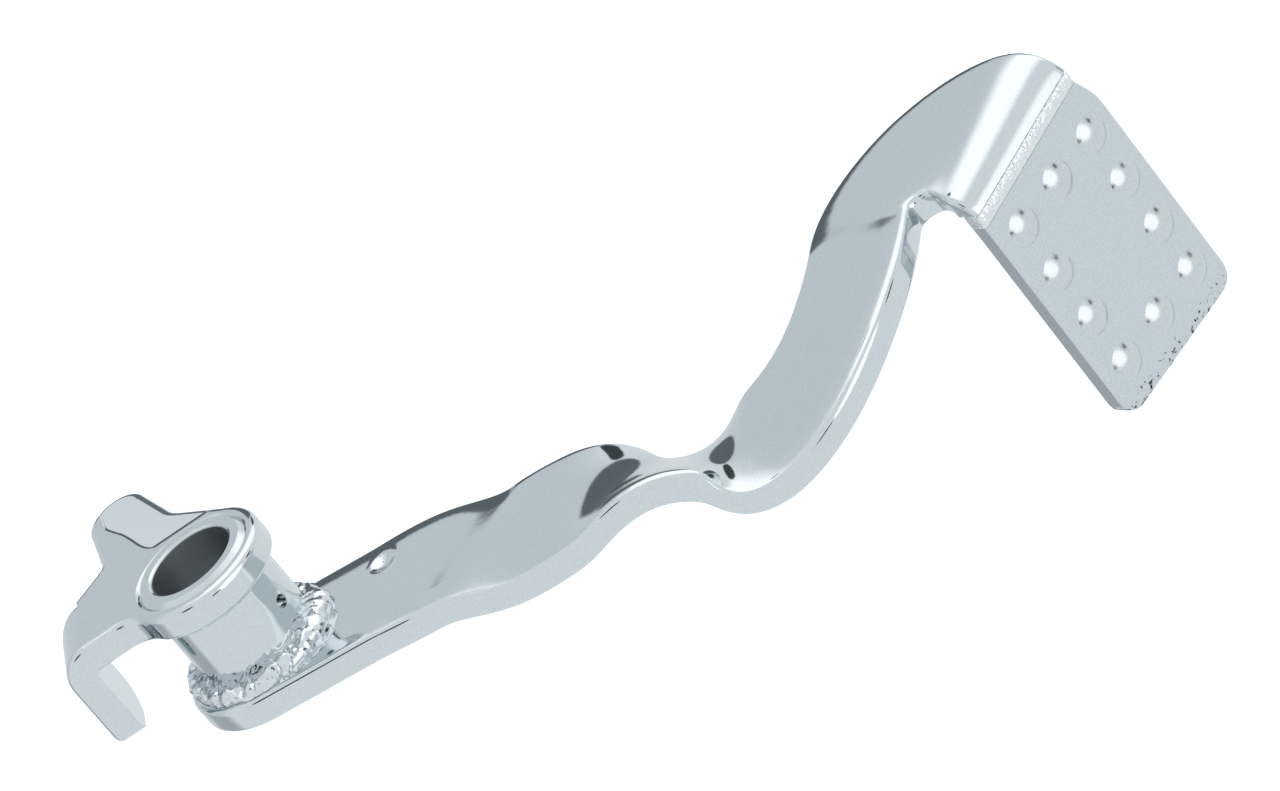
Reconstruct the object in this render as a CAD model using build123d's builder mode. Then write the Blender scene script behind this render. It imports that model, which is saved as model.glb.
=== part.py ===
from build123d import *
from math import cos, sin, pi, radians, sqrt
import os

# Rear brake pedal for the right side of a small motorbike, a chrome-plated steel weldment.
# Frame: the origin is the middle of the pivot bore. +Y is the bore axis and points inboard,
# +Z is square to the tread of the foot pad, and +X is the way the machine faces.
# All sizes are in millimetres and degrees.

# Pivot tube
bore_diameter = 17.0
tube_diameter = 23.3
tube_length = 29.0
tube_outer_chamfer = 0.9
tube_inner_chamfer = 0.5
grease_hole_diameter = 2.6
grease_hole_y = 0.5
grease_hole_angle = 74.0
tube_stand_out = 0.5

# Lever arm
arm_thickness = 6.0
arm_edge_radius = 1.6
arm_eye_wall = 4.65
arm_strip_run = 20.0
arm_root_run = 24.2
arm_root_shift = 2.15
arm_crotch_radius = 8.0
arm_middle_width = 26.6
arm_neck_width = 21.5
arm_end_width = 33.6
arm_rise_angle = 49.6
arm_drop_angle = -33.0
arch_inner_radius = 3.4
arch_flare_power = 1.25
arch_swing_angle = 11.0
seam_swing_angle = 5.7
bend_middle_radius = 3.1
punch_mark_diameter = 5.0
punch_mark_depth = 0.9
punch_mark_along = 26.4
punch_mark_across = -4.6

# Foot pad
pad_width = 35.8
pad_length = 53.3
pad_side_shift = 1.15
pad_flare_length = 5.5
pad_flare_radius = 12.0
pad_thickness = 4.5
pad_corner_radius = 4.0
pad_edge_radius = 0.9
bump_diameter = 7.2
bump_height = 1.1
bump_pitch_across = 11.5
bump_pitch_along = 11.35
first_row_from_seam = 10.6
hollow_diameter = 5.0
hollow_depth = 0.7
seam_width = 3.0
seam_crown = 0.25

# Rod bracket
bracket_thickness = 5.8
bracket_eye_wall = 2.55
bracket_turn = 40.6
bracket_edge_radius = 1.5
bracket_bore_chamfer = 0.5
horn_tip_radius = 6.3
horn_tip_back = 13.8
horn_tip_out = 32.7
hook_reach = 31.2
hook_fold_radius = 6.8
hook_length = 21.0
hook_near_v = 4.9
hook_far_v = -13.4
hook_edge_radius = 0.9
tongue_far_v = -7.0
tongue_big_radius = 6.5
tongue_small_radius = 2.2
horn_neck_radius = 10.0
horn_root_radius = 3.0
web_fillet_radius = 8.0

# Weld beads
arm_bead_width = 3.9
arm_bead_height = 3.0
arm_ripple_count = 20
bracket_bead_width = 1.5
bracket_bead_height = 1.3
bracket_ripple_count = 24

# Faces that follow from the sizes above
bore_radius = bore_diameter / 2
tube_radius = tube_diameter / 2
arm_eye_radius = tube_radius + arm_eye_wall
bracket_eye_radius = tube_radius + bracket_eye_wall
arm_far_y = tube_stand_out - tube_length / 2
arm_near_y = arm_far_y + arm_thickness
arm_middle_y = arm_far_y + arm_thickness / 2
bracket_front_y = tube_length / 2 - tube_stand_out
bracket_back_y = bracket_front_y - bracket_thickness


def bar_directions(yaw, head, over):
    """Along, face and edge directions of the flat bar for a yaw in plan, a rise and a roll-over."""
    a, b, c = radians(yaw), radians(head), radians(over)
    level = Vector(cos(a), sin(a), 0)
    face = Vector(-sin(a), cos(a), 0)
    along = level * cos(b) + Vector(0, 0, sin(b))
    edge = level * -sin(b) + Vector(0, 0, cos(b))
    return along * cos(c) - face * sin(c), face * cos(c) + along * sin(c), edge


def blend(low, high, share):
    """Value a given share of the way from low to high."""
    return low + (high - low) * share


def rippled_bead(face_y, side, width, height, ripples):
    """Weld bead of overlapping ripples in the corner between the tube and a plate's face."""
    with BuildPart() as bead:
        with BuildSketch(Plane.XY):
            with BuildLine():
                on_face = (tube_radius + width, face_y)
                crown = (tube_radius + 0.57 * width, face_y + side * 0.57 * height)
                on_tube = (tube_radius, face_y + side * height)
                Line((tube_radius, face_y), on_face)
                ThreePointArc(on_face, crown, on_tube)
                Line(on_tube, (tube_radius, face_y))
            make_face()
        revolve(axis=Axis.Y)
        for i in range(ripples):
            angle = radians(360 * (i + 0.2 * sin(1.9 * i)) / ripples)
            reach = tube_radius + width * (0.46 + 0.03 * sin(1.7 * i + 1))
            with Locations((reach * cos(angle), face_y + side * 0.38 * height, reach * sin(angle))):
                Sphere(width * (0.44 + 0.03 * sin(2.4 * i)))
        with BuildSketch(Plane.XZ.offset(-face_y)):
            Circle(tube_radius + 3 * width)
        extrude(amount=side * 2 * height, mode=Mode.SUBTRACT)
        with BuildSketch(Plane.XZ.offset(-tube_length)):
            Circle(tube_radius)
        extrude(amount=2 * tube_length, mode=Mode.SUBTRACT)
    return bead


# Centre line of the lever arm: up from the eye, a slight set inboard, a joggle outboard at the
# waist, and forward along the second half to the neck below the arch
rise, _, rise_edge = bar_directions(0, arm_rise_angle, 0)
drop, _, _ = bar_directions(0, arm_drop_angle, 0)
arm_root_width = 2 * (arm_eye_radius - arm_root_shift)
root_middle = rise_edge * arm_root_shift + Vector(0, arm_middle_y, 0)
with BuildLine() as centre_line:
    Spline(
        root_middle + rise * arm_root_run,
        (22.6, arm_middle_y + 0.2, 32.3),
        (28.0, arm_middle_y + 0.3, 45.8),
        (35.7, arm_middle_y + 1.3, 58.0),
        (44.2, arm_middle_y - 0.3, 70.4),
        (51.5, arm_middle_y - 5.6, 78.0),
        (61.5, arm_middle_y - 5.0, 88.3),
        (78.4, arm_middle_y + 0.4, 93.6),
        (99.5, arm_middle_y + 3.3, 86.4),
        tangents=(rise, drop),
    )

# Sections of the bar along the centre line, with the face always upright, from a short straight
# stretch at the root
stations = []
strip_end = root_middle + rise * arm_strip_run
stations.append((strip_end, rise, rise_edge, arm_root_width, arm_thickness, arm_edge_radius))
arm_steps = 32
for i in range(arm_steps + 1):
    share = i / arm_steps
    spot = centre_line.line @ share
    along = centre_line.line % share
    face = Vector(-along.Y, along.X, 0).normalized()
    if share < 0.25:
        width = blend(arm_root_width, arm_middle_width, share / 0.25)
    elif share < 0.6:
        width = arm_middle_width
    else:
        width = blend(arm_middle_width, arm_neck_width, (share - 0.6) / 0.4)
    stations.append((spot, along, along.cross(face), width, arm_thickness, arm_edge_radius))

# Sections round the arch: the bar turns up edgeways while it widens to the pad, then bends
# over outboard until its face lies level
spot = stations[-1][0]
last = (0, arm_drop_angle, 0)
arch_steps = 10
for i in range(1, arch_steps + 1):
    share = i / arch_steps
    pose = (arch_swing_angle * share, blend(arm_drop_angle, 90, share), 0)
    width = blend(arm_neck_width, arm_end_width, share ** arch_flare_power)
    mid_share = (i - 0.5) / arch_steps
    mid_width = blend(arm_neck_width, arm_end_width, mid_share ** arch_flare_power)
    along, _, _ = bar_directions((pose[0] + last[0]) / 2, (pose[1] + last[1]) / 2, 0)
    turn = radians(90 - arm_drop_angle) / arch_steps
    spot = spot + along * ((arch_inner_radius + mid_width / 2) * turn)
    along, face, edge = bar_directions(*pose)
    stations.append((spot, along, edge, width, arm_thickness, arm_edge_radius))
    last = pose
bend_steps = 3
for i in range(1, bend_steps + 1):
    share = i / bend_steps
    pose = (blend(arch_swing_angle, seam_swing_angle, share), 90, 90 * share)
    along, _, _ = bar_directions((pose[0] + last[0]) / 2, 90, (pose[2] + last[2]) / 2)
    spot = spot + along * (bend_middle_radius * pi / 2 / bend_steps)
    along, face, edge = bar_directions(*pose)
    thickness = blend(arm_thickness, pad_thickness, share)
    rounding = blend(arm_edge_radius, pad_edge_radius, share)
    width = blend(arm_end_width, arm_end_width / cos(radians(seam_swing_angle)), share)
    stations.append((spot, along, edge, width, thickness, rounding))
    last = pose
seam_point = spot
seam_slope = sin(radians(seam_swing_angle)) / cos(radians(seam_swing_angle))

# Lever arm: the round eye and the straight run out of it, one side of the run tangent to the eye
with BuildPart() as arm_root:
    with BuildSketch(Plane(origin=(0, arm_near_y, 0), x_dir=rise, z_dir=(0, -1, 0))) as root_outline:
        low_side = arm_root_shift - arm_root_width / 2
        crotch = (sqrt(arm_eye_radius ** 2 - low_side ** 2), low_side)
        Circle(arm_eye_radius)
        with Locations((arm_strip_run / 2, arm_root_shift)):
            Rectangle(arm_strip_run, arm_root_width)
        fillet(root_outline.vertices().sort_by_distance(crotch)[0], radius=arm_crotch_radius)
    extrude(amount=arm_thickness)
    rims = arm_root.edges().filter_by(lambda e: abs((e % 0.5).Y) < 0.5)
    fillet(rims.filter_by(lambda e: (e @ 0.5).dot(rise) < arm_strip_run - 0.1), radius=arm_edge_radius)

# Lever arm: the drawn and bent bar, with its eye bored for the tube and a punch mark on its face
with BuildPart() as lever_arm:
    for spot, along, edge, width, thickness, rounding in stations:
        with BuildSketch(Plane(origin=spot, x_dir=edge, z_dir=along)):
            RectangleRounded(width, thickness, rounding)
    loft()
    add(arm_root.part)
    with Locations(Location((0, arm_middle_y, 0), (90, 0, 0))):
        Cylinder(tube_radius, 2 * arm_thickness, mode=Mode.SUBTRACT)
    mark = rise * punch_mark_along + rise_edge * punch_mark_across
    mark_ball = (punch_mark_diameter ** 2 / 4 + punch_mark_depth ** 2) / (2 * punch_mark_depth)
    with Locations((mark.X, arm_near_y + mark_ball - punch_mark_depth, mark.Z)):
        Sphere(mark_ball, mode=Mode.SUBTRACT)
lever_arm.part.label = "lever_arm"

# Pivot tube: bored through, with chamfered ends and a grease hole
with BuildPart() as pivot_tube:
    with BuildSketch(Plane.XZ.offset(-tube_length / 2)):
        Circle(tube_radius)
        Circle(bore_radius, mode=Mode.SUBTRACT)
    extrude(amount=tube_length)
    rings = pivot_tube.edges().filter_by(GeomType.CIRCLE)
    outer_rings = rings.filter_by(lambda e: e.radius > (bore_radius + tube_radius) / 2)
    chamfer(outer_rings, length=tube_outer_chamfer)
    rings = pivot_tube.edges().filter_by(GeomType.CIRCLE)
    chamfer(rings.filter_by(lambda e: e.radius < bore_radius + 0.01), length=tube_inner_chamfer)
    with Locations(Location((0, grease_hole_y, 0), (0, 90 - grease_hole_angle, 0))):
        Cylinder(
            grease_hole_diameter / 2,
            tube_diameter,
            align=(Align.CENTER, Align.CENTER, Align.MIN),
            mode=Mode.SUBTRACT,
        )
pivot_tube.part.label = "pivot_tube"

# Rod bracket directions: -U is back toward the hook and -V is out toward the horn tip
u_dir = Vector(cos(radians(bracket_turn)), 0, sin(radians(bracket_turn)))
v_dir = Vector(-sin(radians(bracket_turn)), 0, cos(radians(bracket_turn)))
fold_reach = hook_reach - hook_fold_radius
hook_inner_radius = hook_fold_radius - bracket_thickness
hook_inner_reach = fold_reach + hook_inner_radius
hook_end_y = bracket_front_y - hook_length
fold_middle_y = bracket_front_y - hook_fold_radius

# Hook: the end of the bracket folded square, cut as a tongue with one big round corner
with BuildPart() as hook:
    with BuildSketch(Plane(origin=v_dir * hook_far_v, x_dir=u_dir, z_dir=v_dir)):
        with BuildLine():
            TangentArc((-fold_reach, bracket_front_y), (-hook_reach, fold_middle_y), tangent=(-1, 0))
            Line((-hook_reach, fold_middle_y), (-hook_reach, hook_end_y))
            Line((-hook_reach, hook_end_y), (-hook_inner_reach, hook_end_y))
            Line((-hook_inner_reach, hook_end_y), (-hook_inner_reach, fold_middle_y))
            TangentArc((-hook_inner_reach, fold_middle_y), (-fold_reach, bracket_back_y), tangent=(0, 1))
            Line((-fold_reach, bracket_back_y), (-fold_reach, bracket_front_y))
        make_face()
    extrude(amount=hook_near_v - hook_far_v)
    with BuildSketch(Plane(origin=u_dir * (-hook_reach - 5), x_dir=(0, 1, 0), z_dir=u_dir)):
        near_corner = (hook_end_y + tongue_small_radius, hook_near_v)
        end_start = (hook_end_y, hook_near_v - tongue_small_radius)
        end_stop = (hook_end_y, tongue_far_v + tongue_big_radius)
        far_corner = (hook_end_y + tongue_big_radius, tongue_far_v)
        shoulder = (bracket_back_y - 3, tongue_far_v)
        with BuildLine():
            Line((bracket_front_y + 1, hook_near_v), near_corner)
            TangentArc(near_corner, end_start, tangent=(-1, 0))
            Line(end_start, end_stop)
            TangentArc(end_stop, far_corner, tangent=(0, -1))
            Line(far_corner, shoulder)
            Spline(shoulder, (bracket_front_y + 1, hook_far_v), tangents=((1, 0), (1, -0.2)))
            Line((bracket_front_y + 1, hook_far_v), (bracket_front_y + 1, hook_near_v))
        make_face()
    extrude(amount=hook_reach, mode=Mode.INTERSECT)
    wall_middle = hook_inner_reach + bracket_thickness / 2
    near_rims = hook.edges().filter_by(lambda e: abs((e @ 0.5).dot(v_dir) - hook_near_v) < 0.01)
    outer_rims = near_rims.filter_by(lambda e: (e @ 0.5).dot(u_dir) < -wall_middle)
    fillet(outer_rims, radius=bracket_edge_radius)

# Rod bracket: eye, horn and hook in one plate, bored for the tube
with BuildPart() as rod_bracket:
    with BuildSketch(Plane(origin=(0, bracket_front_y, 0), x_dir=u_dir, z_dir=(0, -1, 0))) as outline:
        neck = (-2.2, -21.5)
        root = (-horn_tip_back - 4.7, hook_far_v - 5)
        meeting = (-sqrt(bracket_eye_radius ** 2 - hook_near_v ** 2), hook_near_v)
        with BuildLine():
            Polyline(
                (-fold_reach, hook_near_v),
                (0, hook_near_v),
                (0.6 * bracket_eye_radius, -0.8 * bracket_eye_radius),
                neck,
                (-horn_tip_back + 0.93 * horn_tip_radius, -horn_tip_out - 0.37 * horn_tip_radius),
                (-horn_tip_back - horn_tip_radius, -horn_tip_out),
                root,
                (-fold_reach, hook_far_v),
                close=True,
            )
        make_face()
        Circle(bracket_eye_radius)
        with Locations((-horn_tip_back, -horn_tip_out)):
            Circle(horn_tip_radius)
        fillet(outline.vertices().sort_by_distance(neck)[0], radius=horn_neck_radius)
        fillet(outline.vertices().sort_by_distance(root)[0], radius=horn_root_radius)
        fillet(outline.vertices().sort_by_distance(meeting)[0], radius=web_fillet_radius)
    extrude(amount=bracket_thickness)
    for rim_y, rounding in ((bracket_front_y, bracket_edge_radius), (bracket_back_y, hook_edge_radius)):
        rims = rod_bracket.edges().filter_by(lambda e: abs((e @ 0.5).Y - rim_y) < 0.01)
        fillet(rims.filter_by(lambda e: (e @ 0.5).dot(u_dir) > 0.05 - fold_reach), radius=rounding)
    add(hook.part)
    with BuildSketch(Plane.XZ.offset(-bracket_front_y)):
        Circle(tube_radius)
    extrude(amount=bracket_thickness, mode=Mode.SUBTRACT)
    mouth = rod_bracket.edges().filter_by(GeomType.CIRCLE)
    mouth = mouth.filter_by(lambda e: abs(e.radius - tube_radius) < 0.01).sort_by(Axis.Y)[-1]
    chamfer(mouth, length=bracket_bore_chamfer)
rod_bracket.part.label = "rod_bracket"

# Weld beads round the tube, one on the arm and a smaller one behind the bracket
arm_weld = rippled_bead(arm_near_y, 1, arm_bead_width, arm_bead_height, arm_ripple_count)
arm_weld.part.label = "arm_weld"
bracket_weld = rippled_bead(
    bracket_back_y, -1, bracket_bead_width, bracket_bead_height, bracket_ripple_count
)
bracket_weld.part.label = "bracket_weld"

# Foot pad: a flat plate that flares a little past the seam, with ten bumps pressed up through it
pad_middle_x = seam_point.X + pad_side_shift
pad_top_z = seam_point.Z + pad_thickness / 2
pad_start_y = seam_point.Y - seam_width
pad_end_y = seam_point.Y - pad_length
seam_left = Vector(-arm_end_width / 2, -seam_slope * arm_end_width / 2)
bump_ball = (bump_diameter ** 2 / 4 + bump_height ** 2) / (2 * bump_height)
hollow_ball = (hollow_diameter ** 2 / 4 + hollow_depth ** 2) / (2 * hollow_depth)
with BuildPart() as bump:
    with Locations((0, 0, bump_height - bump_ball)):
        Sphere(bump_ball)
    split(bisect_by=Plane.XY.offset(-pad_edge_radius), keep=Keep.TOP)
with BuildPart() as foot_pad:
    with BuildSketch(Plane.XY.offset(pad_top_z - pad_thickness)) as pad_outline:
        start_left = Vector(seam_point.X, pad_start_y) + seam_left
        start_right = Vector(seam_point.X, pad_start_y) - seam_left
        flare_left = (pad_middle_x - pad_width / 2, start_left.Y - pad_flare_length)
        flare_right = (pad_middle_x + pad_width / 2, start_right.Y - pad_flare_length)
        end_left = (pad_middle_x - pad_width / 2, pad_end_y)
        end_right = (pad_middle_x + pad_width / 2, pad_end_y)
        with BuildLine():
            Polyline(start_left, flare_left, end_left, end_right, flare_right, start_right, close=True)
        make_face()
        for corner in (flare_left, flare_right):
            fillet(pad_outline.vertices().sort_by_distance(corner)[0], radius=pad_flare_radius)
        for corner in (end_left, end_right):
            fillet(pad_outline.vertices().sort_by_distance(corner)[0], radius=pad_corner_radius)
    extrude(amount=pad_thickness)
    rims = foot_pad.edges().group_by(Axis.Z)[-1] + foot_pad.edges().group_by(Axis.Z)[0]
    seam_middle = Vector(seam_point.X, pad_start_y, 0)
    rims = [e for e in rims if (Vector((e @ 0.5).X, (e @ 0.5).Y, 0) - seam_middle).length > 0.1]
    fillet(rims, radius=pad_edge_radius)
    bump_spots = []
    for row in range(4):
        for column in (-1, 0, 1):
            if column != 0 or row in (0, 3):
                x = pad_middle_x + column * bump_pitch_across
                y = seam_point.Y - first_row_from_seam - row * bump_pitch_along
                bump_spots.append((x, y, pad_top_z))
    with Locations(bump_spots):
        add(bump.part)
    with Locations([(x, y, z - pad_thickness + hollow_depth - hollow_ball) for x, y, z in bump_spots]):
        Sphere(hollow_ball, mode=Mode.SUBTRACT)
foot_pad.part.label = "foot_pad"

# Ground butt weld that joins the pad to the end of the arm, a little proud of both
with BuildPart() as pad_weld:
    with BuildSketch(Plane.XY.offset(pad_top_z - pad_thickness)):
        with BuildLine():
            near_left = Vector(seam_point.X, seam_point.Y) + seam_left
            near_right = Vector(seam_point.X, seam_point.Y) - seam_left
            Polyline(near_left, start_left, start_right, near_right, close=True)
        make_face()
    extrude(amount=pad_thickness)
    side_rims = pad_weld.edges().filter_by(Axis.Y)
    fillet(side_rims, radius=pad_edge_radius)
    across_seam = Vector(cos(radians(seam_swing_angle)), sin(radians(seam_swing_angle)), 0)
    bead_width = seam_width * cos(radians(seam_swing_angle))
    with BuildSketch(Plane(origin=seam_point, x_dir=(0, 0, 1), z_dir=across_seam)):
        with BuildLine():
            ThreePointArc(
                (pad_thickness / 2, 0),
                (pad_thickness / 2 + seam_crown, bead_width / 2),
                (pad_thickness / 2, bead_width),
            )
            Line((pad_thickness / 2, bead_width), (pad_thickness / 2, 0))
        make_face()
    extrude(amount=arm_end_width / 2 - 2 * pad_edge_radius, both=True)
pad_weld.part.label = "pad_weld"

os.makedirs("parts", exist_ok=True)
export_step(lever_arm.part, "parts/lever_arm.step")
export_step(foot_pad.part, "parts/foot_pad.step")
export_step(pivot_tube.part, "parts/pivot_tube.step")
export_step(rod_bracket.part, "parts/rod_bracket.step")
export_step(arm_weld.part, "parts/arm_weld.step")
export_step(bracket_weld.part, "parts/bracket_weld.step")
export_step(pad_weld.part, "parts/pad_weld.step")
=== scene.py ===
import math

import bmesh
import bpy
from mathutils import Matrix, Vector, noise


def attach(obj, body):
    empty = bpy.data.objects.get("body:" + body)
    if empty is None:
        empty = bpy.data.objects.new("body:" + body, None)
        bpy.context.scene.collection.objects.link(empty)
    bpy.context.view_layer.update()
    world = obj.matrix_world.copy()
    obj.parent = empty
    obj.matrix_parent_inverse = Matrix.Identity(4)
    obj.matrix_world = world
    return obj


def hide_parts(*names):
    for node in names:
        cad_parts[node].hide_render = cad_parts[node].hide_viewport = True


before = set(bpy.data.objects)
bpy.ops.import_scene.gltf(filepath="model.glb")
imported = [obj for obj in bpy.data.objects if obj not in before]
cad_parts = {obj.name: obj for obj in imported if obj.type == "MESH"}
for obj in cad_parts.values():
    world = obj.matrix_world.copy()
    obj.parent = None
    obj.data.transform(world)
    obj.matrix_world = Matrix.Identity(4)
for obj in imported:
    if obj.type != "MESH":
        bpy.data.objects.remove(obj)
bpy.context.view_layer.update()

MM = 0.001

# Camera, 1.4 m from the pedal at the photograph's viewing angle, for an image of 1280 x 791
CAMERA_RIGHT = Vector((0.5383, -0.5611, 0.6288))
CAMERA_UP = Vector((0.7214, 0.6926, 0.0005))
CAMERA_BACK = Vector((-0.4358, 0.4533, 0.7776))
CAMERA_PLACE = Vector((-542.7, 621.2, 1134.2))
LENS_MM = 219.3
SENSOR_MM = 36.0

# Tube and bracket, in millimetres and degrees, as the solids have them
TUBE_RADIUS = 11.65
BORE_RADIUS = 8.5
BORE_LIP = 0.12
BRACKET_BACK_Y = 8.2
BRACKET_TURN = 40.6
HORN_STEP = 0.45
CREASE_SPREAD = 0.5

# Lever arm: its eye and the straight root out of it
EYE_RADIUS = 16.3
ARM_THICKNESS = 6.0
ARM_MIDDLE_Y = -11.0
ARM_FACE_Y = ARM_MIDDLE_Y + ARM_THICKNESS / 2
RISE_ANGLE = 49.6
ROOT_RUN = 24.2
ROOT_SHIFT = 2.15
CROTCH_RADIUS = 8.0

# Lever arm: the drawn part, with the shares of its length where its width changes
MIDDLE_WIDTH = 26.6
NECK_WIDTH = 21.5
SWELL_END = 0.25
TAPER_START = 0.6
BULGE = 0.6
BULGE_IN = 0.15
BULGE_OUT = 0.1
DROP_ANGLE = -33.0

# Middle line of the drawn part after the root, with its offset from the plane of the root
MIDDLE_LINE = [(22.6, 0.2, 32.3), (28.0, 0.3, 45.8), (35.7, 1.3, 58.0), (44.2, -0.3, 70.4),
               (51.5, -5.6, 78.0), (61.5, -5.0, 88.3), (78.4, 0.4, 93.6), (99.5, 3.3, 86.4)]

# Lever arm: the arch, and the bend flat to the pad
END_WIDTH = 33.6
ARCH_RADIUS = 3.4
ARCH_FLARE = 1.25
ARCH_SWING = 11.0
SEAM_SWING = 5.7
BEND_RADIUS = 3.1

# Lever arm: corners, crown of its faces and the punched mark
CORNER_RADIUS = 1.2
SEAM_CORNER = 0.9
CROWN_WIDTH = 5.0
CROWN_DROP = 0.34
MARK_ALONG = 26.4
MARK_ACROSS = -4.6
MARK_RADIUS = 2.5
MARK_DEPTH = 0.9
MARK_LIP = 0.16
MARK_LIP_OUT = 0.45
MARK_LIP_SPREAD = 0.42

# Pad and its ground weld
PAD_THICKNESS = 4.5
SEAM_WIDTH = 3.0
SEAM_CROWN = 0.22
SEAM_GROOVE = 0.55
SEAM_GROOVE_SHARE = 0.10
GRINDING_DEPTH = 0.10
TOE_PITS_START = -53.5
TOE_PITS_FULL = -60.5

# How far the weld rings run into the plates and the tube
WELD_TOE = 0.15
WELD_HEEL = 0.4

# Fineness of the modelled surfaces
ROW_PITCH = 0.42
EYE_ROWS = 30
EYE_START_ANGLE = 1.5
ARCH_ROWS = 72
BEND_ROWS = 10
SIDE_STEPS = 7
CROWN_STEPS = 5
FACE_STEPS = 44
CURVE_STEPS = 48
CURVE_ROUNDS = 60
RIPPLE_STEPS = 16
RING_LAYERS = 13
SEAM_STEPS_ALONG = 150
SEAM_STEPS_ACROSS = 18
BORE_SIDES = 128
SHARP_ANGLE = 42.0

camera_data = bpy.data.cameras.new("photo_camera")
camera_data.sensor_fit = "HORIZONTAL"
camera_data.sensor_width = SENSOR_MM
camera_data.lens = LENS_MM
camera_data.clip_start = 0.05
camera_data.clip_end = 20.0
camera = bpy.data.objects.new("photo_camera", camera_data)
bpy.context.scene.collection.objects.link(camera)
turn = Matrix((CAMERA_RIGHT, CAMERA_UP, CAMERA_BACK)).transposed()
camera.matrix_world = Matrix.Translation(CAMERA_PLACE * MM) @ turn.to_4x4()
bpy.context.scene.camera = camera
bpy.context.scene.view_settings.view_transform = "Standard"

# Directions in the bracket's face: along it from the hook, and square to that toward the eye
back_way = Vector((math.cos(math.radians(BRACKET_TURN)), 0, math.sin(math.radians(BRACKET_TURN))))
level_way = Vector((-back_way.z, 0, back_way.x))

# The crease across the horn, from its tip to its root, in millimetres along those directions
CREASE = [(-17.4, -39.0), (-16.9, -34.9), (-16.4, -30.8), (-14.9, -27.6), (-13.1, -24.5), (-11.4, -20.7),
          (-9.7, -16.6), (-8.2, -14.1), (-6.7, -12.8)]


def linear(hex_colour):
    """Linear RGBA of an sRGB hex colour."""
    def channel(c):
        return c / 12.92 if c <= 0.04045 else ((c + 0.055) / 1.055) ** 2.4
    parts = [int(hex_colour[i:i + 2], 16) / 255 for i in (1, 3, 5)]
    return tuple(channel(c) for c in parts) + (1.0,)


def node(tree, kind, settings=None, **links):
    """Adds a node with its settings and links.

    A link names an input, with _ for a space, or i and its number. It takes a value, an output,
    or a node for that node's first output.
    """
    made = tree.nodes.new(kind)
    for name, value in (settings or {}).items():
        setattr(made, name, value)
    for name, value in links.items():
        if name[0] == "i" and name[1:].isdigit():
            socket = made.inputs[int(name[1:])]
        else:
            socket = made.inputs[name.replace("_", " ")]
        if isinstance(value, bpy.types.Node):
            value = value.outputs[0]
        if isinstance(value, bpy.types.NodeSocket):
            tree.links.new(value, socket)
        else:
            socket.default_value = value
    return made


EASED = {"interpolation_type": "SMOOTHSTEP"}
COLOURS = {"data_type": "RGBA"}
DOT = {"operation": "DOT_PRODUCT"}
TIMES = {"operation": "MULTIPLY"}


def plated(name, tints, roughness, wave, grain, patch=None):
    """Chrome plate: mirror-bright over the waviness and the grain of the steel beneath.

    wave and grain are (size, depth) in millimetres. patch is a function for a part of the surface
    that differs: it gives its share, colour and roughness, and how much lower it lies.
    """
    material = bpy.data.materials.new(name)
    material.use_nodes = True
    tree = material.node_tree
    tree.nodes.clear()
    place = node(tree, "ShaderNodeTexCoord").outputs["Object"]
    waves = node(tree, "ShaderNodeTexNoise", Vector=place, Scale=1 / (wave[0] * MM), Detail=1.0)
    grit = node(tree, "ShaderNodeTexNoise", Vector=place, Scale=1 / (grain[0] * MM), Detail=2.0)
    normal = node(tree, "ShaderNodeBump", Strength=1.0, Distance=wave[1] * MM, Height=waves)
    normal = node(tree, "ShaderNodeBump", Strength=1.0, Distance=grain[1] * MM, Height=grit, Normal=normal)
    rough = node(tree, "ShaderNodeMapRange", EASED, Value=grit, From_Min=0.35, From_Max=0.65,
                 To_Min=roughness[0], To_Max=roughness[1])
    tint = node(tree, "ShaderNodeMapRange", EASED, Value=grit, From_Min=0.3, From_Max=0.7)
    shade = node(tree, "ShaderNodeMix", COLOURS, i0=tint, i6=linear(tints[0]), i7=linear(tints[1]))
    if patch:
        share, patch_colour, patch_roughness, step = patch(tree, place)
        if step:
            normal = node(tree, "ShaderNodeBump", {"invert": True}, Strength=1.0, Distance=step * MM,
                          Height=share, Normal=normal)
        shade = node(tree, "ShaderNodeMix", COLOURS, i0=share, i6=shade.outputs[2], i7=linear(patch_colour))
        rough = node(tree, "ShaderNodeMix", i0=share, i2=rough, i3=patch_roughness)
    shader = node(tree, "ShaderNodeBsdfPrincipled", Base_Color=shade.outputs[2], Metallic=1.0,
                  Roughness=rough, Normal=normal)
    node(tree, "ShaderNodeOutputMaterial", Surface=shader)
    return material


def thin_in_bore(tree, place):
    """Plating hardly reaches the bore of the tube: bare grey steel inside, off the chamfers."""
    parts = node(tree, "ShaderNodeSeparateXYZ", Vector=place)
    flat = node(tree, "ShaderNodeCombineXYZ", X=parts.outputs["X"], Z=parts.outputs["Z"])
    reach = node(tree, "ShaderNodeVectorMath", {"operation": "LENGTH"}, i0=flat)
    bore = (BORE_RADIUS + BORE_LIP) * MM
    share = node(tree, "ShaderNodeMapRange", EASED, Value=reach.outputs["Value"],
                 From_Min=bore, From_Max=bore + 0.05 * MM, To_Min=1.0, To_Max=0.0)
    return share, "#aab1b5", 0.42, 0.0


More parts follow.
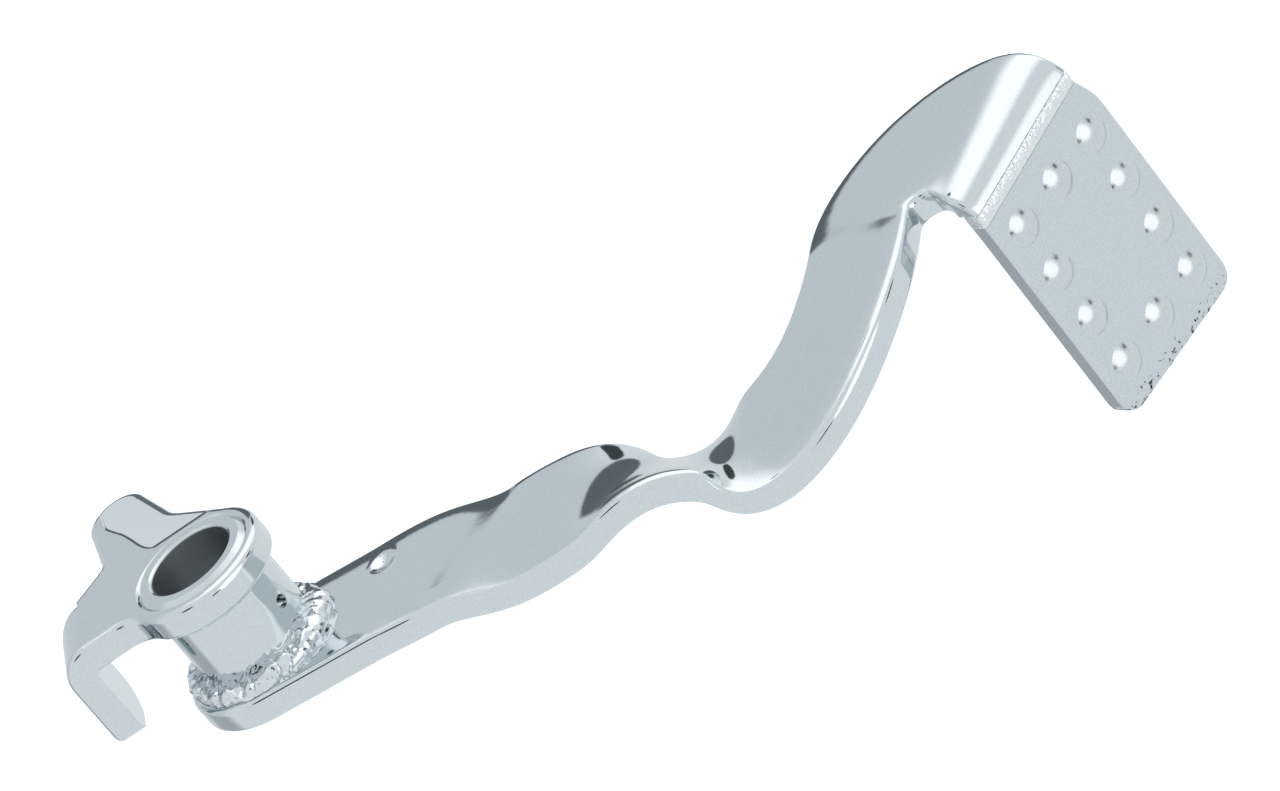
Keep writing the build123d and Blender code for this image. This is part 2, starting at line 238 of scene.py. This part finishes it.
def lowered_horn_painted_highlight(tree, place):
    """The horn was ground a little lower than the rest of the bracket's face; its lighter colour there is a
    painted highlight.
    """
    (tip_back, tip_level), (root_back, root_level) = CREASE[0], CREASE[-1]
    level = node(tree, "ShaderNodeVectorMath", DOT, i0=place, i1=level_way / MM).outputs["Value"]
    back = node(tree, "ShaderNodeVectorMath", DOT, i0=place, i1=back_way / MM).outputs["Value"]
    from_tip = node(tree, "ShaderNodeMapRange", Value=level, From_Min=tip_level, From_Max=root_level)
    line = node(tree, "ShaderNodeFloatCurve", Value=from_tip)
    for back_at, level_at in CREASE[1:-1]:
        share = (level_at - tip_level) / (root_level - tip_level)
        line.mapping.curves[0].points.new(share, (back_at - tip_back) / (root_back - tip_back))
    line.mapping.update()
    crease_at = node(tree, "ShaderNodeMapRange", Value=line, To_Min=tip_back, To_Max=root_back)
    past = node(tree, "ShaderNodeMath", {"operation": "SUBTRACT"}, i0=back, i1=crease_at)
    ground = node(tree, "ShaderNodeMapRange", EASED, Value=past,
                  From_Min=-CREASE_SPREAD / 2, From_Max=CREASE_SPREAD / 2)
    on_horn = node(tree, "ShaderNodeMapRange", EASED, Value=level,
                   From_Min=root_level - 0.6, From_Max=root_level + 0.2, To_Min=1.0, To_Max=0.0)
    # The lighter colour given to the horn is a painted highlight; the step is a bump
    return node(tree, "ShaderNodeMath", TIMES, i0=ground, i1=on_horn), "#e9eef0", 0.10, HORN_STEP


def pitted_toe(tree, place):
    """Pits along the toe edge of the pad, where the plating blistered."""
    parts = node(tree, "ShaderNodeSeparateXYZ", Vector=place)
    toe = node(tree, "ShaderNodeMapRange", EASED, Value=parts.outputs["Y"],
               From_Min=TOE_PITS_FULL * MM, From_Max=TOE_PITS_START * MM, To_Min=1.0, To_Max=0.0)
    pits = node(tree, "ShaderNodeTexNoise", Vector=place, Scale=1 / (1.3 * MM), Detail=4.0, Roughness=0.7)
    field = node(tree, "ShaderNodeMath", TIMES, i0=toe, i1=pits)
    share = node(tree, "ShaderNodeMapRange", EASED, Value=field, From_Min=0.56, From_Max=0.60)
    return share, "#24292b", 0.6, 0.0


# Bright chrome, a cool grey. The buffing grain beneath is finer than a picture shows, so it is
# drawn 0.3 mm coarse and kept very shallow
CHROME_TINTS = ("#c9d0d4", "#d2d8db")
BUFFING = (0.30, 0.0012)
# Over a ground and buffed bar it is a near mirror, whose slight waviness frays what it mirrors
bar_chrome = plated("chrome_over_buffed_bar", CHROME_TINTS, (0.045, 0.085), (2.6, 0.009), BUFFING)
# Over sawn and linished plate it is flatter, so what it mirrors stays straight. On the horn its colour is
# lighter, a painted highlight
plate_chrome = plated("chrome_over_linished_plate", CHROME_TINTS, (0.05, 0.10), (4.0, 0.006), BUFFING,
                      lowered_horn_painted_highlight)
# Over drawn tube it is as bright outside, and thins to bare steel in the bore
tube_chrome = plated("chrome_over_drawn_tube", CHROME_TINTS, (0.05, 0.10), (3.5, 0.006), BUFFING,
                     thin_in_bore)
# Over as-rolled plate it has a softer sheen with a fine even grain, pitted along the toe
pad_chrome = plated("satin_chrome_over_rolled_plate", ("#c4cbcf", "#d0d6d9"), (0.16, 0.24),
                    (6.0, 0.012), (0.30, 0.0020), pitted_toe)
# Over raw weld metal every ripple and pit glints
weld_chrome = plated("chrome_over_weld_ripples", ("#cdd3d7", "#d9dee1"), (0.08, 0.16),
                     (2.2, 0.40), (0.9, 0.035))
# Over a weld ground nearly flush it is scratched and speckled, brighter than the pad
ground_chrome = plated("chrome_over_ground_weld", ("#d6dbde", "#e6e9eb"), (0.12, 0.22),
                       (0.6, 0.16), (0.30, 0.020))


def bar_directions(yaw, head, over):
    """Along and edge directions of the flat bar for a yaw in plan, a rise and a roll-over."""
    a, b, c = math.radians(yaw), math.radians(head), math.radians(over)
    face = Vector((-math.sin(a), math.cos(a), 0))
    along = Vector((math.cos(a), math.sin(a), 0)) * math.cos(b) + Vector((0, 0, math.sin(b)))
    edge = Vector((math.cos(a), math.sin(a), 0)) * -math.sin(b) + Vector((0, 0, math.cos(b)))
    return along * math.cos(c) - face * math.sin(c), edge


def blend(low, high, share):
    """Value a given share of the way from low to high."""
    return low + (high - low) * share


def smooth_curve(points, start, end):
    """Points and directions along the smooth curve through points, close together."""
    gaps = [(b - a).length for a, b in zip(points, points[1:])]
    slopes = [(b - a) / gap for a, b, gap in zip(points, points[1:], gaps)]
    pulls = [start] + [(a + b) / 2 for a, b in zip(slopes, slopes[1:])] + [end]
    for _ in range(CURVE_ROUNDS):
        for i in range(1, len(points) - 1):
            h, k = gaps[i - 1], gaps[i]
            even = 3 * (k * slopes[i - 1] + h * slopes[i])
            pulls[i] = (even - k * pulls[i - 1] - h * pulls[i + 1]) / (2 * (h + k))
    spots = []
    for i, gap in enumerate(gaps):
        for step in range(CURVE_STEPS + (i == len(gaps) - 1)):
            t = step / CURVE_STEPS
            a, b = points[i], points[i + 1]
            m, n = pulls[i] * gap, pulls[i + 1] * gap
            spot = a * (2 * t ** 3 - 3 * t ** 2 + 1) + m * (t ** 3 - 2 * t ** 2 + t)
            spot = spot + b * (3 * t ** 2 - 2 * t ** 3) + n * (t ** 3 - t ** 2)
            pull = (a - b) * (6 * t ** 2 - 6 * t) + m * (3 * t ** 2 - 4 * t + 1) + n * (3 * t ** 2 - 2 * t)
            spots.append((spot, pull.normalized()))
    return spots


def at_share(spots, count):
    """Points and directions at equal lengths along closely spaced spots."""
    lengths = [0.0]
    for (a, _), (b, _) in zip(spots, spots[1:]):
        lengths.append(lengths[-1] + (b - a).length)
    picked = []
    j = 0
    for i in range(count + 1):
        aim = lengths[-1] * i / count
        while j < len(lengths) - 2 and lengths[j + 1] < aim:
            j += 1
        t = (aim - lengths[j]) / (lengths[j + 1] - lengths[j])
        (a, pull_a), (b, pull_b) = spots[j], spots[j + 1]
        picked.append((a.lerp(b, t), pull_a.lerp(pull_b, t).normalized()))
    return picked


rise, rise_edge = bar_directions(0, RISE_ANGLE, 0)
drop, _ = bar_directions(0, DROP_ANGLE, 0)
root_width = 2 * (EYE_RADIUS - ROOT_SHIFT)
root_middle = rise_edge * ROOT_SHIFT + Vector((0, ARM_MIDDLE_Y, 0))
crotch_v = ROOT_SHIFT - root_width / 2 - CROTCH_RADIUS
crotch_s = math.sqrt((EYE_RADIUS + CROTCH_RADIUS) ** 2 - crotch_v ** 2)
crotch_start = crotch_s * EYE_RADIUS / (EYE_RADIUS + CROTCH_RADIUS)


def root_sides(s):
    """Low and high side of the eye and the strip out of it, at a length s from the eye's middle."""
    chord = math.sqrt(max(EYE_RADIUS ** 2 - s ** 2, 0))
    high = chord - ROOT_SHIFT if s < 0 else root_width / 2
    if s < crotch_start:
        low = -chord - ROOT_SHIFT
    elif s < crotch_s:
        low = crotch_v + math.sqrt(CROTCH_RADIUS ** 2 - (s - crotch_s) ** 2) - ROOT_SHIFT
    else:
        low = -root_width / 2
    return low, high


def root_depth(s, w):
    """How far a point of the eye and strip lies inside their outline."""
    v = w + ROOT_SHIFT
    inside = EYE_RADIUS - math.hypot(s, v)
    if s > 0:
        inside = max(inside, min(root_width / 2 - w, w + root_width / 2))
    if crotch_start < s < crotch_s and v < crotch_v + CROTCH_RADIUS + 4:
        inside = min(inside, math.hypot(s - crotch_s, v - crotch_v) - CROTCH_RADIUS)
    return max(inside, 0.0)


def row(spot, along, edge, low, high, thickness=ARM_THICKNESS, corner=CORNER_RADIUS,
        crown=CROWN_DROP, s=None):
    """A row across the bar: its place and directions, low and high side, thickness, corner and
    crown, and in the root its length from the eye's middle."""
    return [spot, along, edge, low, high, thickness, corner, crown, s]


def root_rows():
    """Rows across the eye, then along the strip out of it."""
    swing = 90 - EYE_START_ANGLE
    turns = [math.radians(EYE_START_ANGLE + swing * i / EYE_ROWS) for i in range(EYE_ROWS)]
    steps = round(ROOT_RUN / ROW_PITCH)
    lengths = [-EYE_RADIUS * math.cos(turn) for turn in turns] + [ROOT_RUN * i / steps for i in range(steps)]
    return [row(root_middle + rise * s, rise, rise_edge, *root_sides(s), s=s) for s in lengths]


def drawn_rows():
    """Rows along the drawn part, over the hump and through the waist."""
    points = [root_middle + rise * ROOT_RUN]
    points += [Vector((x, ARM_MIDDLE_Y + y, z)) for x, y, z in MIDDLE_LINE]
    spots = smooth_curve(points, rise, drop)
    length = sum((b - a).length for (a, _), (b, _) in zip(spots, spots[1:]))
    count = round(length / ROW_PITCH)
    rows = []
    for i, (spot, along) in enumerate(at_share(spots, count)):
        share = i / count
        if share < SWELL_END:
            width = blend(root_width, MIDDLE_WIDTH, share / SWELL_END)
        elif share < TAPER_START:
            width = MIDDLE_WIDTH
        else:
            width = blend(MIDDLE_WIDTH, NECK_WIDTH, (share - TAPER_START) / (1 - TAPER_START))
        width += BULGE * min(1.0, share / BULGE_IN, (1 - share) / BULGE_OUT)
        face = Vector((-along.y, along.x, 0)).normalized()
        rows.append(row(spot, along, along.cross(face), -width / 2, width / 2))
    return rows


def arch_rows(spot):
    """Rows round the arch, where the bar swings up on end and widens toward the pad."""
    rows = []
    yaw_before, head_before = 0.0, DROP_ANGLE
    for i in range(1, ARCH_ROWS + 1):
        share = i / ARCH_ROWS
        yaw, head = ARCH_SWING * share, blend(DROP_ANGLE, 90, share)
        width = blend(NECK_WIDTH, END_WIDTH, share ** ARCH_FLARE)
        reach = ARCH_RADIUS + blend(NECK_WIDTH, END_WIDTH, ((i - 0.5) / ARCH_ROWS) ** ARCH_FLARE) / 2
        along, _ = bar_directions((yaw + yaw_before) / 2, (head + head_before) / 2, 0)
        spot = spot + along * (reach * math.radians(90 - DROP_ANGLE) / ARCH_ROWS)
        rows.append(row(spot, *bar_directions(yaw, head, 0), -width / 2, width / 2))
        yaw_before, head_before = yaw, head
    return rows


def bend_rows(spot):
    """Rows round the bend that lays the bar flat, thinned to the pad."""
    rows = []
    yaw_before, over_before = ARCH_SWING, 0.0
    for i in range(1, BEND_ROWS + 1):
        share = i / BEND_ROWS
        yaw, over = blend(ARCH_SWING, SEAM_SWING, share), 90 * share
        along, _ = bar_directions((yaw + yaw_before) / 2, 90, (over + over_before) / 2)
        spot = spot + along * (BEND_RADIUS * math.pi / 2 / BEND_ROWS)
        width = blend(END_WIDTH, END_WIDTH / math.cos(math.radians(SEAM_SWING)), share)
        rows.append(row(spot, *bar_directions(yaw, 90, over), -width / 2, width / 2,
                        blend(ARM_THICKNESS, PAD_THICKNESS, share), blend(CORNER_RADIUS, SEAM_CORNER, share),
                        CROWN_DROP * (1 - share)))
        yaw_before, over_before = yaw, over
    return rows


def eased(rows, first, last, rounds):
    """Rows with places, directions and sides evened out between first and last."""
    for _ in range(rounds):
        before = [list(row) for row in rows]
        for i in range(first, last):
            a, b, c = before[i - 1], before[i], before[i + 1]
            for k in (0, 1, 2, 3, 4):
                rows[i][k] = (a[k] + b[k] * 2 + c[k]) / 4
            rows[i][1].normalize()
            rows[i][2] = (rows[i][2] - rows[i][1] * rows[i][2].dot(rows[i][1])).normalized()
    return rows


def arm_rows():
    """All rows of the lever arm, with no kink where its parts meet."""
    rows = root_rows() + drawn_rows()
    rows += arch_rows(rows[-1][0])
    rows += bend_rows(rows[-1][0])
    rows = eased(rows, 60, len(rows) - BEND_ROWS - 4, 16)
    return eased(rows, len(rows) - BEND_ROWS - 30, len(rows) - 1, 60)


def across(low, high, corner):
    """Places across the bar from its high side to its low side, closer together at the edges."""
    ins = [corner * (1 - math.cos(math.pi / 2 * k / SIDE_STEPS)) for k in range(SIDE_STEPS + 1)]
    ins += [corner + (CROWN_WIDTH - corner) * k / CROWN_STEPS for k in range(1, CROWN_STEPS + 1)]
    squeeze = min(1.0, (high - low) / 2 / (CROWN_WIDTH * 1.2))
    ins = [d * squeeze for d in ins]
    left = [high - d for d in ins]
    right = [low + d for d in reversed(ins)]
    middle = [blend(left[-1], right[0], k / FACE_STEPS) for k in range(1, FACE_STEPS)]
    return left + middle + right


def half_height(inside, thickness, corner, crown):
    """Half the bar's thickness a given way in from its edge: a round corner and a slight crown."""
    height = thickness / 2 - crown * (1 - min(inside / CROWN_WIDTH, 1)) ** 2
    if inside < corner:
        height -= corner - math.sqrt(corner ** 2 - (corner - inside) ** 2)
    return height


def mark_height(reach):
    """Punch mark: a round dimple with a low raised ring."""
    lip = MARK_LIP * math.exp(-((reach - MARK_RADIUS - MARK_LIP_OUT) / MARK_LIP_SPREAD) ** 2)
    if reach < MARK_RADIUS:
        return lip - MARK_DEPTH * (1 - (reach / MARK_RADIUS) ** 2)
    return lip


def piece_from(name, points, faces, material, replaced):
    """A shaded piece from points in millimetres, riding on the pedal in place of a solid."""
    data = bpy.data.meshes.new(name)
    data.from_pydata([p * MM for p in points], [], faces)
    shell = bmesh.new()
    shell.from_mesh(data)
    bmesh.ops.remove_doubles(shell, verts=shell.verts, dist=1e-7)
    bmesh.ops.recalc_face_normals(shell, faces=shell.faces)
    shell.to_mesh(data)
    shell.free()
    for polygon in data.polygons:
        polygon.use_smooth = True
    data.set_sharp_from_angle(angle=math.radians(SHARP_ANGLE))
    data.materials.append(material)
    piece = bpy.data.objects.new(name, data)
    bpy.context.scene.collection.objects.link(piece)
    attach(piece, "root")
    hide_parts(replaced)
    return piece


def block_faces(rows, columns):
    """Faces of a closed block whose top and then bottom points lie in rows of a number of columns."""
    total = rows * columns
    faces = []
    for r in range(rows - 1):
        for c in range(columns - 1):
            a = r * columns + c
            b = a + columns
            faces.append((a, a + 1, b + 1, b))
            faces.append((total + a, total + b, total + b + 1, total + a + 1))
        for c in (0, columns - 1):
            a = r * columns + c
            faces.append((a, a + columns, total + a + columns, total + a))
    for r in (0, rows - 1):
        for c in range(columns - 1):
            a = r * columns + c
            faces.append((a, a + 1, total + a + 1, total + a))
    return faces


def lever_bar(rows):
    """The drawn and bent bar with its eye, crowned front, round corners and punch mark."""
    mark = rise * MARK_ALONG + rise_edge * MARK_ACROSS
    front, back = [], []
    for spot, along, edge, low, high, thickness, corner, crown, s in rows:
        face = edge.cross(along)
        for w in across(low, high, corner):
            inside = root_depth(s, w) if s is not None else min(high - w, w - low)
            height = half_height(inside, thickness, corner, crown)
            place = spot + edge * w
            reach = math.hypot(place.x - mark.x, place.z - mark.z)
            dent = mark_height(reach) if reach < 3 * MARK_RADIUS else 0.0
            front.append(place + face * (height + dent))
            back.append(place - face * half_height(inside, thickness, corner, 0.0))
    faces = block_faces(len(rows), len(front) // len(rows))
    return piece_from("bent_lever_bar", front + back, faces, bar_chrome, "lever_arm")


def bore_out(piece, radius):
    """Bores the eye through for the pivot tube."""
    data = bpy.data.meshes.new("bore_cutter")
    cutter = bmesh.new()
    place = Matrix.Translation((0, ARM_MIDDLE_Y * MM, 0)) @ Matrix.Rotation(math.pi / 2, 4, "X")
    bmesh.ops.create_cone(cutter, cap_ends=True, segments=BORE_SIDES, radius1=radius * MM,
                          radius2=radius * MM, depth=4 * ARM_THICKNESS * MM, matrix=place)
    cutter.to_mesh(data)
    cutter.free()
    tool = bpy.data.objects.new("bore_cutter", data)
    bpy.context.scene.collection.objects.link(tool)
    cut = piece.modifiers.new("bore", "BOOLEAN")
    cut.object = tool
    cut.solver = "EXACT"
    bpy.context.view_layer.update()
    graph = bpy.context.evaluated_depsgraph_get()
    bored = bpy.data.meshes.new_from_object(piece.evaluated_get(graph))
    piece.modifiers.remove(cut)
    piece.data = bored
    bpy.data.objects.remove(tool)


def weld_ring(name, replaced, face_y, side, leg, rise_on_tube, ripples, depth, rough, thin_toward=None):
    """Ring of overlapping weld ripples in the corner between the tube and a plate's face."""
    steps = ripples * RIPPLE_STEPS
    points = []
    for i in range(steps):
        angle = 2 * math.pi * i / steps
        out = Vector((math.cos(angle), 0, math.sin(angle)))
        thin = 0.3 * max(out.dot(thin_toward), 0) ** 6 if thin_toward else 0.0
        reach = leg * (1 - thin + 0.12 * noise.noise(out * 2.3 + Vector((0, face_y, 0))))
        stand = rise_on_tube * (1 - thin + 0.16 * noise.noise(out * 3.1 + Vector((5, face_y, 2))))
        for j in range(RING_LAYERS):
            share = j / (RING_LAYERS - 1)
            lean = math.pi / 2 * share
            lag = 0.42 * math.sin(math.pi * share)
            turn = (i / RIPPLE_STEPS + lag + 0.5 * noise.noise(out * 5.0)) % 1.0
            lump = depth * (1 - turn ** 2) * math.sin(math.pi * min(max(share, 0.06), 0.94)) ** 0.5
            lump += rough * noise.noise(out * 9 + Vector((0, share * 3, 0)))
            swell = 1 + 0.10 * math.sin(2 * lean)
            x = TUBE_RADIUS - WELD_TOE + (reach * swell + lump) * math.cos(lean)
            y = face_y - side * WELD_TOE + side * (stand * swell + lump) * math.sin(lean)
            points.append(Vector((out.x * x, y, out.z * x)))
        points.append(out * (TUBE_RADIUS - WELD_HEEL) + Vector((0, face_y - side * WELD_HEEL, 0)))
    count = RING_LAYERS + 1
    faces = []
    for i in range(steps):
        a, b = i * count, (i + 1) % steps * count
        for j in range(count):
            k = (j + 1) % count
            faces.append((a + j, a + k, b + k, b + j))
    return piece_from(name, points, faces, weld_chrome, replaced)


def broken_edge(end):
    """How far the seam's round end falls off, a given way in from it."""
    return SEAM_CORNER - math.sqrt(max(SEAM_CORNER ** 2 - max(SEAM_CORNER - end, 0) ** 2, 0))


def ground_weld(middle):
    """The butt weld across the pad, ground nearly flush.

    It has a low crown, a fine groove where it meets the arm, and grinding marks.
    """
    slope = math.tan(math.radians(SEAM_SWING))
    top, bottom = [], []
    for i in range(SEAM_STEPS_ALONG + 1):
        x = (i / SEAM_STEPS_ALONG - 0.5) * END_WIDTH
        fall = broken_edge(END_WIDTH / 2 - abs(x))
        for j in range(SEAM_STEPS_ACROSS + 1):
            share = j / SEAM_STEPS_ACROSS
            y = slope * x - SEAM_WIDTH * share
            crown = math.sin(math.pi * share)
            z = SEAM_CROWN * crown - SEAM_GROOVE * math.exp(-(share / SEAM_GROOVE_SHARE) ** 2) - fall
            z += GRINDING_DEPTH * noise.noise(Vector((x * 1.7, y * 1.7, 3))) * crown
            spot = middle + Vector((x, y, 0))
            top.append(spot + Vector((0, 0, PAD_THICKNESS / 2 + z)))
            bottom.append(spot - Vector((0, 0, PAD_THICKNESS / 2 - fall)))
    faces = block_faces(SEAM_STEPS_ALONG + 1, SEAM_STEPS_ACROSS + 1)
    return piece_from("ground_pad_weld", top + bottom, faces, ground_chrome, "pad_weld")


bar_rows = arm_rows()
arm = lever_bar(bar_rows)
bore_out(arm, TUBE_RADIUS - 0.3)
crotch_way = (rise * 0.66 - rise_edge * 0.75).normalized()
weld_ring("arm_weld_ripples", "arm_weld", ARM_FACE_Y, 1, 3.6, 2.8, 20, 0.55, 0.40, crotch_way)
weld_ring("bracket_weld_ripples", "bracket_weld", BRACKET_BACK_Y, -1, 1.0, 1.0, 34, 0.20, 0.25)
ground_weld(bar_rows[-1][0])

# The tube, the pad and the bracket are right as solids, and get their finish here
finishes = {"pivot_tube": tube_chrome, "foot_pad": pad_chrome, "rod_bracket": plate_chrome}
for name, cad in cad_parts.items():
    for slot in cad.material_slots:
        slot.material = finishes.get(name, bar_chrome)

# Floor, in metres, well below the pedal
FLOOR_HALF = 6.0
FLOOR_LEVEL = -0.30
floor_mesh = bpy.data.meshes.new("floor")
corners = [(x * FLOOR_HALF, y * FLOOR_HALF, 0) for x, y in ((-1, -1), (1, -1), (1, 1), (-1, 1))]
floor_mesh.from_pydata(corners, [], [(0, 1, 2, 3)])
floor = bpy.data.objects.new("floor", floor_mesh)
bpy.context.scene.collection.objects.link(floor)
floor.location = (0, 0, FLOOR_LEVEL)
floor.visible_glossy = False
paint = bpy.data.materials.new("matt_white_floor")
paint.use_nodes = True
paint.node_tree.nodes["Principled BSDF"].inputs["Base Color"].default_value = linear("#f4f5f6")
paint.node_tree.nodes["Principled BSDF"].inputs["Roughness"].default_value = 0.9
floor.data.materials.append(paint)

# Studio light: a pale tent with panels in it that the chrome mirrors. Each panel has the way
# toward it, the angles from there at which it ends and is whole, and its colour
TENT_COLOUR = "#c8ccce"
TENT_STRENGTH = 1.6
PANELS = [
    # Grey below
    ((0.0, 0.0, -1.0), 62, 40, "#b5babe"),
    ((-0.45, -0.47, -0.76), 24, 10, "#989da1"),
    # White on the side that the bracket faces
    ((0.30, 0.92, -0.05), 38, 16, "#fdfeff"),
    ((0.62, 0.60, -0.05), 30, 10, "#fdfeff"),
    # Pale grey, which the tread mirrors
    ((0.436, -0.453, 0.778), 16, 10, "#c6cbce"),
    # Dark, which the curved parts of the arm mirror
    ((0.585, 0.19, -0.788), 17, 15, "#535a5e"),
    ((0.80, 0.38, -0.47), 8, 7, "#363c3f"),
    ((-0.86, 0.47, 0.19), 10, 9, "#363c3f"),
    # White overhead with a dark bar on either side, which the bumps of the tread mirror
    ((0.04, 0.10, 0.99), 29, 21, "#ffffff"),
    ((0.71, 0.15, 0.68), 7.5, 6.5, "#1c2022"),
    ((-0.45, -0.06, 0.89), 8, 7, "#1c2022"),
    # A small grey one, low on the side that the bracket faces
    ((0.08, 0.90, -0.42), 5, 3, "#6b7377"),
]
world = bpy.data.worlds.new("studio_tent")
bpy.context.scene.world = world
world.use_nodes = True
tent = world.node_tree
tent.nodes.clear()
way = node(tent, "ShaderNodeTexCoord").outputs["Generated"]
shade = linear(TENT_COLOUR)
for toward, ends, whole, colour in PANELS:
    facing = node(tent, "ShaderNodeVectorMath", DOT, i0=way, i1=Vector(toward).normalized())
    share = node(tent, "ShaderNodeMapRange", EASED, Value=facing.outputs["Value"],
                 From_Min=math.cos(math.radians(ends)), From_Max=math.cos(math.radians(whole)))
    shade = node(tent, "ShaderNodeMix", COLOURS, i0=share, i6=shade, i7=linear(colour)).outputs[2]
sky = node(tent, "ShaderNodeBackground", Color=shade, Strength=TENT_STRENGTH)
node(tent, "ShaderNodeOutputWorld", Surface=sky)

# Overhead lamp, in metres and watts, for the floor alone
LAMP_SIZE = 2.0
LAMP_HEIGHT = 1.8
LAMP_POWER = 22.0
lamp_data = bpy.data.lights.new("floor_lamp", "AREA")
lamp_data.shape = "DISK"
lamp_data.size = LAMP_SIZE
lamp_data.energy = LAMP_POWER
lamp = bpy.data.objects.new("floor_lamp", lamp_data)
bpy.context.scene.collection.objects.link(lamp)
lamp.location = (0.0, 0.0, LAMP_HEIGHT)
lamp.visible_glossy = False
lamp.visible_camera = False
